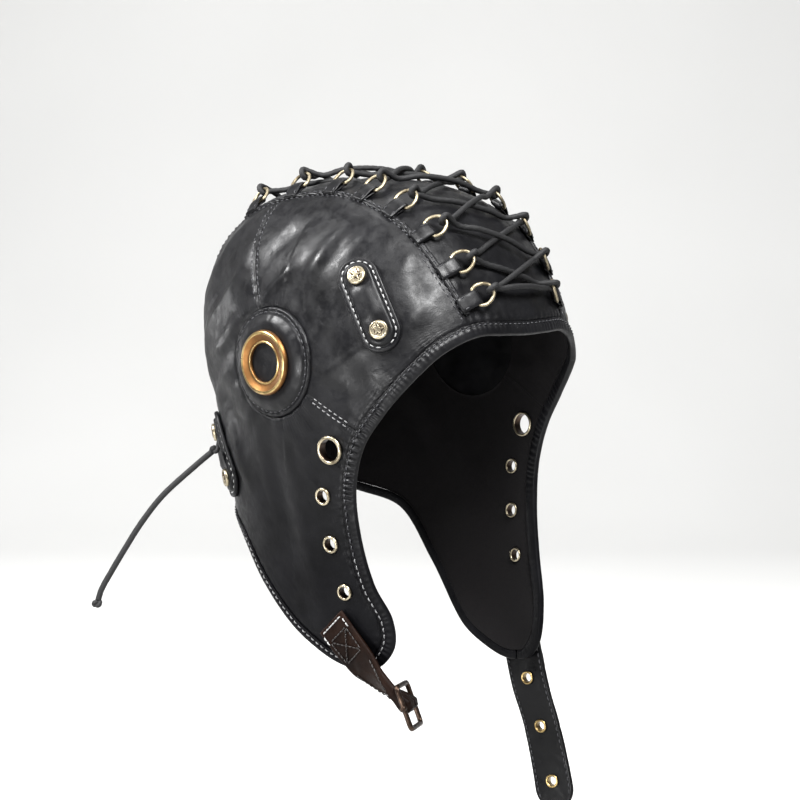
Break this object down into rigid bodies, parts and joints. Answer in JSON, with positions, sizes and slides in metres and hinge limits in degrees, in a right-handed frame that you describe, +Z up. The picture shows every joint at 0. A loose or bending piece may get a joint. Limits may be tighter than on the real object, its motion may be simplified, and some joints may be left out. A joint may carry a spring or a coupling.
{
  "type": "aviator hat",
  "caption": "Black leather aviator hat with a laced crown, padded ear discs, long ear flaps, a chin strap with eyelets and a buckle.",
  "frame": {"origin": "inner face of the leather at the top of the crown, where a head carries the hat", "axes": "+Z up, the wearer looks along -Y, +X towards the wearer's left"},
  "size_m": [0.1967, 0.1946, 0.3381],
  "materials": {
    "black_leather": "semi-gloss, creased",
    "brown_leather": "waxed, dark",
    "aged_brass": "worn, golden brown",
    "pale_brass": "polished, pale gold",
    "dark_bronze": "dark antique plating",
    "black_cord": "waxed round lace"
  },
  "bodies": {
    "root": {"buckle_frame": "dark_bronze", "buckle_prong": "dark_bronze", "buckle_strap": "brown_leather", "centre_panel": "black_leather", "chin_strap": "black_leather", "crown_lace": "black_cord", "d_ring_l1": "pale_brass", "d_ring_l2": "pale_brass", "d_ring_l3": "pale_brass", "d_ring_l4": "pale_brass", "d_ring_l5": "pale_brass", "d_ring_l6": "pale_brass", "d_ring_l7": "pale_brass", "d_ring_l8": "pale_brass", "d_ring_r1": "pale_brass", "d_ring_r2": "pale_brass", "d_ring_r3": "pale_brass", "d_ring_r4": "pale_brass", "d_ring_r5": "pale_brass", "d_ring_r6": "pale_brass", "d_ring_r7": "pale_brass", "d_ring_r8": "pale_brass", "drawcord": "black_cord", "drawcord_knot": "black_cord", "drawcord_stop": "black_cord", "ear_disc_l": "black_leather", "ear_disc_r": "black_leather", "ear_grommet_l": "aged_brass", "ear_grommet_r": "aged_brass", "face_binding": "black_leather", "flap_eyelet_l1": "pale_brass", "flap_eyelet_l2": "pale_brass", "flap_eyelet_l3": "pale_brass", "flap_eyelet_l4": "pale_brass", "flap_eyelet_r1": "pale_brass", "flap_eyelet_r2": "pale_brass", "flap_eyelet_r3": "pale_brass", "flap_eyelet_r4": "pale_brass", "front_panel_l": "black_leather", "front_panel_r": "black_leather", "lace_tabs_l": "black_leather", "lace_tabs_r": "black_leather", "nape_binding": "black_leather", "rear_panel_l": "black_leather", "rear_panel_r": "black_leather", "rear_tab_l": "black_leather", "rear_tab_r": "black_leather", "rear_tab_rivet_l1": "pale_brass", "rear_tab_rivet_l2": "pale_brass", "rear_tab_rivet_r1": "pale_brass", "rear_tab_rivet_r2": "pale_brass", "side_tab_l": "black_leather", "side_tab_r": "black_leather", "side_tab_rivet_l1": "pale_brass", "side_tab_rivet_l2": "pale_brass", "side_tab_rivet_r1": "pale_brass", "side_tab_rivet_r2": "pale_brass", "strap_eyelet_1": "pale_brass", "strap_eyelet_2": "pale_brass", "strap_eyelet_3": "pale_brass"}
  },
  "joints": []
}
